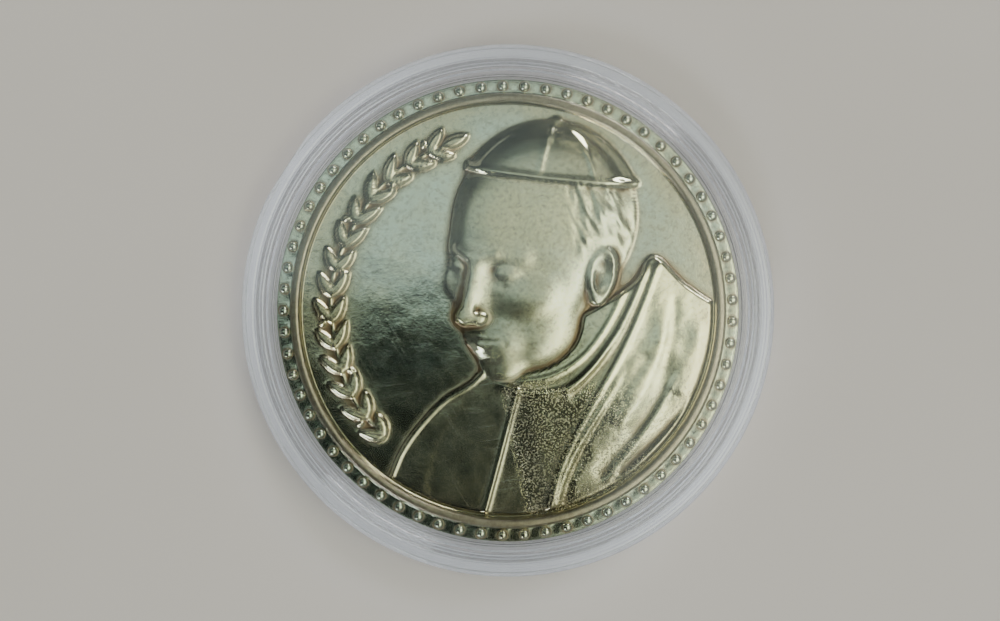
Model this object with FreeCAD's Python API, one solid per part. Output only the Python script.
"""Round coin capsule with a struck commemorative medal inside. Millimetres, +Z up.

Three loose pieces stack on one axis:
  base_shell  clear moulded tray: window, guard ring, flange and an upright spigot wall
  medal       struck brass medal that lies in the tray, face up
  lid_shell   clear moulded lid, whose bore slips over the spigot

The origin is on the capsule's axis, in the plane that it stands on. +Y is the top of the medal's
design, and the medal's head looks towards -X.
"""

import FreeCAD
import Part
import math
import os

V = FreeCAD.Vector
Z_AXIS = V(0, 0, 1)

# ---- driving dimensions -------------------------------------------------------------------
CAPSULE_R = 23.0  # outside of both flanges: fits a 46 mm tray recess
CAPSULE_H = 6.0  # over both guard rings
MEDAL_R = 20.0
MEDAL_H = 3.0  # over the border rings of both faces

# ---- shells -------------------------------------------------------------------------------
GUARD_H = 0.2  # guard ring, proud of the window so that the window isn't scratched
GUARD_IN_R = 20.6
GUARD_OUT_R = 21.5
WINDOW_T = 1.2
CAVITY_R = MEDAL_R + 0.2
SPIGOT_T = 0.8
FIT_GAP = 0.06  # radial running gap between spigot and lid bore
DRAFT = 0.05  # how far each moulded wall leans over its height
FLANGE_IN_R = 21.75
FLANGE_DROP = 0.7  # from the guard ring's crest to the flange
FLANGE_EDGE_R = 0.5  # rounded outer edge of a flange
PRY_NOTCH = 0.35  # chamfers on both flanges, which make the opening groove
PARTING_GAP = 0.04
SPIGOT_TOP_GAP = 0.1
SOFT_EDGE = 0.12  # small moulded radius
MID_Z = CAPSULE_H / 2
FLOOR_Z = GUARD_H + WINDOW_T  # what the medal lies on
CEILING_Z = CAPSULE_H - FLOOR_Z
SPIGOT_R = CAVITY_R + SPIGOT_T
BORE_R = SPIGOT_R + FIT_GAP

# Gate: where the plastic entered the mould, a flat on the flange's edge with a small stub on it.
GATE_ANGLE = 147.0
GATE_FLAT_DEPTH = 0.22
GATE_STUB_W = 1.4
GATE_STUB_H = 0.9
GATE_STUB_OUT = 0.12
GATE_STUB_ROOT = 0.5  # how far the stub starts inside the flange

# ---- medal --------------------------------------------------------------------------------
MEDAL_GAP = 0.02  # air under the medal
MEDAL_Z = FLOOR_Z + MEDAL_GAP + MEDAL_H / 2  # mid-plane of the medal
EDGE_ROUND = 0.15
CHANNEL_DEPTH = 0.40  # bead channel, below the top of the border ring
FIELD_DEPTH = 0.75  # obverse field, below the top of the border ring
BACK_FIELD_DEPTH = 0.55
BEADS = 65
BEAD_CIRCLE_R = 19.42
BEAD_R = 0.5
BEAD_RISE = 0.36  # how far a bead stands out of the channel
RING_IN_R = 17.95  # border ring between field and beads
RING_OUT_R = 18.85
RING_ROUND = 0.22
BACK_RING_ROUND = 0.15
WALL_SLOPE = 0.12  # how far the sides of the border ring lean out
BEAD_ROOT = 0.15  # how far a bead starts inside the blank
RELIEF_ROOT = 0.05  # how far a raised shape starts inside the blank

# Plain stand-in relief: silhouettes raised from the obverse field. The head is a plain tilted oval.
BUST_CLIP_R = RING_IN_R - 0.05
BUST_CLIP_H = 2.0
HEAD_AT = (2.9, 4.6)
HEAD_HALF_L = 10.6
HEAD_HALF_W = 8.3
HEAD_TILT = 102.0  # degrees from +X to the crown
SHOULDER_H = 0.30
HEAD_H = 0.46
CAP_H = 0.54
EAR_H = 0.60
COLLAR_H = 0.44

# Laurel sprig in place of a legend, on the left of the obverse; a wreath on the reverse.
LEAF_H = 0.22
LEAF_LENGTH = 2.3
LEAF_WIDTH = 0.85
LEAF_STEP = 8.6  # degrees between leaf pairs
LEAF_SPLAY = 33.0  # degrees between a leaf and the stem
STEM_R = 15.75
STEM_W = 0.26
SPRIG_FROM, SPRIG_TO = 113.0, 227.0
WREATH_R = 13.2
WREATH_GAP = 16.0  # degrees left open at the top of the reverse
BOSS_R = 8.0
BOSS_H = 0.2


# ---- helpers ------------------------------------------------------------------------------
def rounded_wire(corners):
    """Closed wire in the XZ plane. Each corner is (radius from axis, height, fillet)."""
    edges = []
    count = len(corners)
    ends = []
    for i, (r, z, fillet) in enumerate(corners):
        here = V(r, 0, z)
        before = V(corners[i - 1][0], 0, corners[i - 1][1])
        after = V(corners[(i + 1) % count][0], 0, corners[(i + 1) % count][1])
        if fillet <= 0:
            ends.append((here, here))
            continue
        to_before = (before - here).normalize()
        to_after = (after - here).normalize()
        half = to_before.getAngle(to_after) / 2
        back = fillet / math.tan(half)
        centre = here + (to_before + to_after).normalize() * (fillet / math.sin(half))
        start, end = here + to_before * back, here + to_after * back
        middle = centre + (here - centre).normalize() * fillet
        edges.append(Part.Arc(start, middle, end).toShape())
        ends.append((start, end))
    for i in range(count):
        start, end = ends[i][1], ends[(i + 1) % count][0]
        if start.distanceToPoint(end) > 1e-6:
            edges.append(Part.LineSegment(start, end).toShape())
    return Part.Wire(Part.__sortEdges__(edges))


def turned(corners):
    """Solid of revolution about Z from a rounded outline."""
    return Part.Face(rounded_wire(corners)).revolve(V(0, 0, 0), Z_AXIS, 360)


def at_angle(radius, degrees, z=0.0):
    a = math.radians(degrees)
    return V(radius * math.cos(a), radius * math.sin(a), z)


def closed_spline(points, z):
    """Smooth closed outline through (x, y) points at height z."""
    curve = Part.BSplineCurve()
    curve.interpolate([V(x, y, z) for x, y in points], PeriodicFlag=True)
    return Part.Wire(curve.toShape())


def oval(centre, half_long, half_short, tilt, z):
    """Ellipse at height z, its long axis turned by tilt degrees from +X."""
    edge = Part.Ellipse(V(0, 0, 0), half_long, half_short).toShape()
    edge.rotate(V(0, 0, 0), Z_AXIS, tilt)
    edge.translate(V(centre[0], centre[1], z))
    return Part.Wire([edge])


def raised(wire, height):
    return Part.Face(wire).extrude(V(0, 0, height))


# ---- capsule shells -----------------------------------------------------------------------
def with_gate(shell, z):
    """Cuts the gate flat into a flange's edge and leaves its stub, at height z."""
    flat_r = CAPSULE_R - GATE_FLAT_DEPTH
    spare = 1.0
    long = 2 * math.sqrt(2 * CAPSULE_R * GATE_FLAT_DEPTH) + 2 * spare
    cutter_corner = V(flat_r, -long / 2, -CAPSULE_H / 4)
    cutter = Part.makeBox(GATE_FLAT_DEPTH + spare, long, CAPSULE_H / 2, cutter_corner)
    stub_corner = V(flat_r - GATE_STUB_ROOT, -GATE_STUB_W / 2, -GATE_STUB_H / 2)
    stub = Part.makeBox(GATE_STUB_ROOT + GATE_STUB_OUT, GATE_STUB_W, GATE_STUB_H, stub_corner)
    for tool in (cutter, stub):
        tool.translate(V(0, 0, z))
        tool.rotate(V(0, 0, 0), Z_AXIS, GATE_ANGLE)
    return shell.cut(cutter).fuse(stub).removeSplitter()


def base_shell():
    top = MID_Z - PARTING_GAP / 2
    outline = [
        (0, GUARD_H, 0),
        (GUARD_IN_R, GUARD_H, SOFT_EDGE),
        (GUARD_IN_R + GUARD_H, 0, SOFT_EDGE),
        (GUARD_OUT_R, 0, SOFT_EDGE),
        (FLANGE_IN_R, FLANGE_DROP, SOFT_EDGE),
        (CAPSULE_R, FLANGE_DROP, FLANGE_EDGE_R),
        (CAPSULE_R, top - PRY_NOTCH, 0),
        (CAPSULE_R - PRY_NOTCH, top, 0),
        (SPIGOT_R, top, SOFT_EDGE),
        (SPIGOT_R - DRAFT, CEILING_Z - SPIGOT_TOP_GAP, SOFT_EDGE),
        (CAVITY_R + DRAFT, CEILING_Z - SPIGOT_TOP_GAP, SOFT_EDGE),
        (CAVITY_R, FLOOR_Z, SOFT_EDGE),
        (0, FLOOR_Z, 0),
    ]
    return with_gate(turned(outline), (FLANGE_DROP + FLANGE_EDGE_R + top - PRY_NOTCH) / 2)


def lid_shell():
    bottom = MID_Z + PARTING_GAP / 2
    flange_top = CAPSULE_H - FLANGE_DROP
    outline = [
        (0, CEILING_Z, 0),
        (BORE_R - DRAFT, CEILING_Z, SOFT_EDGE),
        (BORE_R, bottom + 2 * SOFT_EDGE, 0),
        (BORE_R + 2 * SOFT_EDGE, bottom, 0),
        (CAPSULE_R - PRY_NOTCH, bottom, 0),
        (CAPSULE_R, bottom + PRY_NOTCH, 0),
        (CAPSULE_R, flange_top, FLANGE_EDGE_R),
        (FLANGE_IN_R, flange_top, SOFT_EDGE),
        (GUARD_OUT_R, CAPSULE_H, SOFT_EDGE),
        (GUARD_IN_R + GUARD_H, CAPSULE_H, SOFT_EDGE),
        (GUARD_IN_R, CAPSULE_H - GUARD_H, SOFT_EDGE),
        (0, CAPSULE_H - GUARD_H, 0),
    ]
    return with_gate(turned(outline), (flange_top - FLANGE_EDGE_R + bottom + PRY_NOTCH) / 2)


# ---- medal --------------------------------------------------------------------------------
def medal_blank():
    """The turned form: edge, bead channels, border rings and fields of both faces."""
    face = MEDAL_H / 2
    channel = face - CHANNEL_DEPTH
    field = face - FIELD_DEPTH
    back_field = face - BACK_FIELD_DEPTH
    outline = [
        (0, -back_field, 0),
        (RING_IN_R - WALL_SLOPE, -back_field, 0),
        (RING_IN_R, -face, BACK_RING_ROUND),
        (RING_OUT_R, -face, BACK_RING_ROUND),
        (RING_OUT_R + WALL_SLOPE, -channel, 0),
        (MEDAL_R, -channel, EDGE_ROUND),
        (MEDAL_R, channel, EDGE_ROUND),
        (RING_OUT_R + WALL_SLOPE, channel, 0),
        (RING_OUT_R, face, RING_ROUND),
        (RING_IN_R, face, RING_ROUND),
        (RING_IN_R - WALL_SLOPE, field, 0),
        (0, field, 0),
    ]
    return turned(outline)


def bead_ring(side):
    """Sphere caps standing in the bead channel. side is 1 for the obverse, -1 for the reverse."""
    channel = MEDAL_H / 2 - CHANNEL_DEPTH
    sphere_r = (BEAD_R**2 + BEAD_RISE**2) / (2 * BEAD_RISE)
    z = side * (channel + BEAD_RISE - sphere_r)
    tool_h = BEAD_RISE + BEAD_ROOT
    beads = []
    for i in range(BEADS):
        centre = at_angle(BEAD_CIRCLE_R, 90 + 360 * i / BEADS, z)
        low = channel - BEAD_ROOT if side > 0 else -channel - BEAD_RISE
        column = Part.makeCylinder(BEAD_R, tool_h, V(centre.x, centre.y, low))
        beads.append(Part.makeSphere(sphere_r, centre).common(column))
    return beads


def leaf(centre, heading, z, height):
    """Pointed leaf outline from two arcs, raised by height."""
    a = math.radians(heading)
    along = V(math.cos(a), math.sin(a), 0)
    across = V(-math.sin(a), math.cos(a), 0)
    base = V(centre.x, centre.y, z)
    tip = base + along * LEAF_LENGTH
    middle = base + along * (LEAF_LENGTH / 2)
    sides = [middle + across * (LEAF_WIDTH / 2), middle - across * (LEAF_WIDTH / 2)]
    edges = [Part.Arc(base, sides[0], tip).toShape(), Part.Arc(tip, sides[1], base).toShape()]
    return raised(Part.Wire(edges), height)


def arc_band(radius, width, start, end, z, height):
    """Part of a flat ring, from one angle to another."""
    inner, outer = radius - width / 2, radius + width / 2
    middle = (start + end) / 2
    edges = [
        Part.Arc(at_angle(outer, start, z), at_angle(outer, middle, z), at_angle(outer, end, z)).toShape(),
        Part.LineSegment(at_angle(outer, end, z), at_angle(inner, end, z)).toShape(),
        Part.Arc(at_angle(inner, end, z), at_angle(inner, middle, z), at_angle(inner, start, z)).toShape(),
        Part.LineSegment(at_angle(inner, start, z), at_angle(outer, start, z)).toShape(),
    ]
    return raised(Part.Wire(edges), height)


def sprig(radius, start, end, z, height):
    """Stem on an arc with leaf pairs that point from start to end."""
    turn = 1 if end > start else -1
    pieces = [arc_band(radius, STEM_W, min(start, end), max(start, end), z, height)]
    pairs = int(abs(end - start) / LEAF_STEP)
    for i in range(pairs + 1):
        angle = start + turn * i * LEAF_STEP
        forward = angle + 90 * turn
        foot = at_angle(radius, angle, z)
        pieces += [leaf(foot, forward + side * LEAF_SPLAY, z, height) for side in (-1, 1)]
    return pieces


def bust(z):
    """Stepped silhouettes of the robed bust: shoulders, collar, head, skullcap and ear."""
    clip = Part.makeCylinder(BUST_CLIP_R, BUST_CLIP_H, V(0, 0, z))
    left_side = [(-1.6, -5.8), (-5.8, -7.8), (-9.5, -11.6), (-11.4, -16.2)]
    hem = [(-6, -19.5), (6, -20.5), (16, -16)]
    right_side = [(21, -6), (18.6, 0.6), (13.2, 4.4), (10.6, 3.4), (6.0, -3.4)]
    shoulders = closed_spline(left_side + hem + right_side, z)
    head = oval(HEAD_AT, HEAD_HALF_L, HEAD_HALF_W, HEAD_TILT, z)
    crown = [(-4.4, 12.8), (-2.2, 15.6), (1.6, 17.0), (5.8, 16.4), (9.2, 13.8), (10.9, 10.6)]
    cap = closed_spline(crown + [(7.0, 11.6), (1.0, 12.9)], z)
    ear = closed_spline([(8.6, 7.4), (10.2, 7.8), (10.9, 5.4), (10.0, 2.2), (8.8, 1.8), (8.2, 4.6)], z)
    collar_top = [(-1.4, -5.6), (1.8, -5.8), (6.6, -4.0), (10.2, 0.2)]
    collar = closed_spline(collar_top + [(9.4, -2.6), (4.8, -7.0), (0.4, -7.6)], z)
    steps = [(shoulders, SHOULDER_H), (collar, COLLAR_H), (head, HEAD_H), (cap, CAP_H), (ear, EAR_H)]
    return [raised(wire, height).common(clip) for wire, height in steps]


def medal():
    face = MEDAL_H / 2
    field = face - FIELD_DEPTH
    back_field = -(face - BACK_FIELD_DEPTH)
    pieces = bead_ring(1) + bead_ring(-1)
    pieces += bust(field)
    pieces += sprig(STEM_R, SPRIG_TO, SPRIG_FROM, field - RELIEF_ROOT, LEAF_H + RELIEF_ROOT)
    for start, end in ((-90, 90 - WREATH_GAP), (270, 90 + WREATH_GAP)):
        pieces += sprig(WREATH_R, start, end, back_field - LEAF_H, LEAF_H + RELIEF_ROOT)
    pieces.append(Part.makeCylinder(BOSS_R, BOSS_H + RELIEF_ROOT, V(0, 0, back_field - BOSS_H)))
    body = medal_blank().multiFuse(pieces).removeSplitter()
    body.translate(V(0, 0, MEDAL_Z))
    return body


def main():
    os.makedirs("parts", exist_ok=True)
    for name, make in (("base_shell", base_shell), ("medal", medal), ("lid_shell", lid_shell)):
        shape = make()
        solids = shape.Solids
        print(name, "solids", len(solids), "valid", shape.isValid(), "volume", round(shape.Volume, 1))
        solid = solids[0] if len(solids) == 1 else Part.makeCompound(solids)
        solid.exportStep("parts/%s.step" % name)


main()
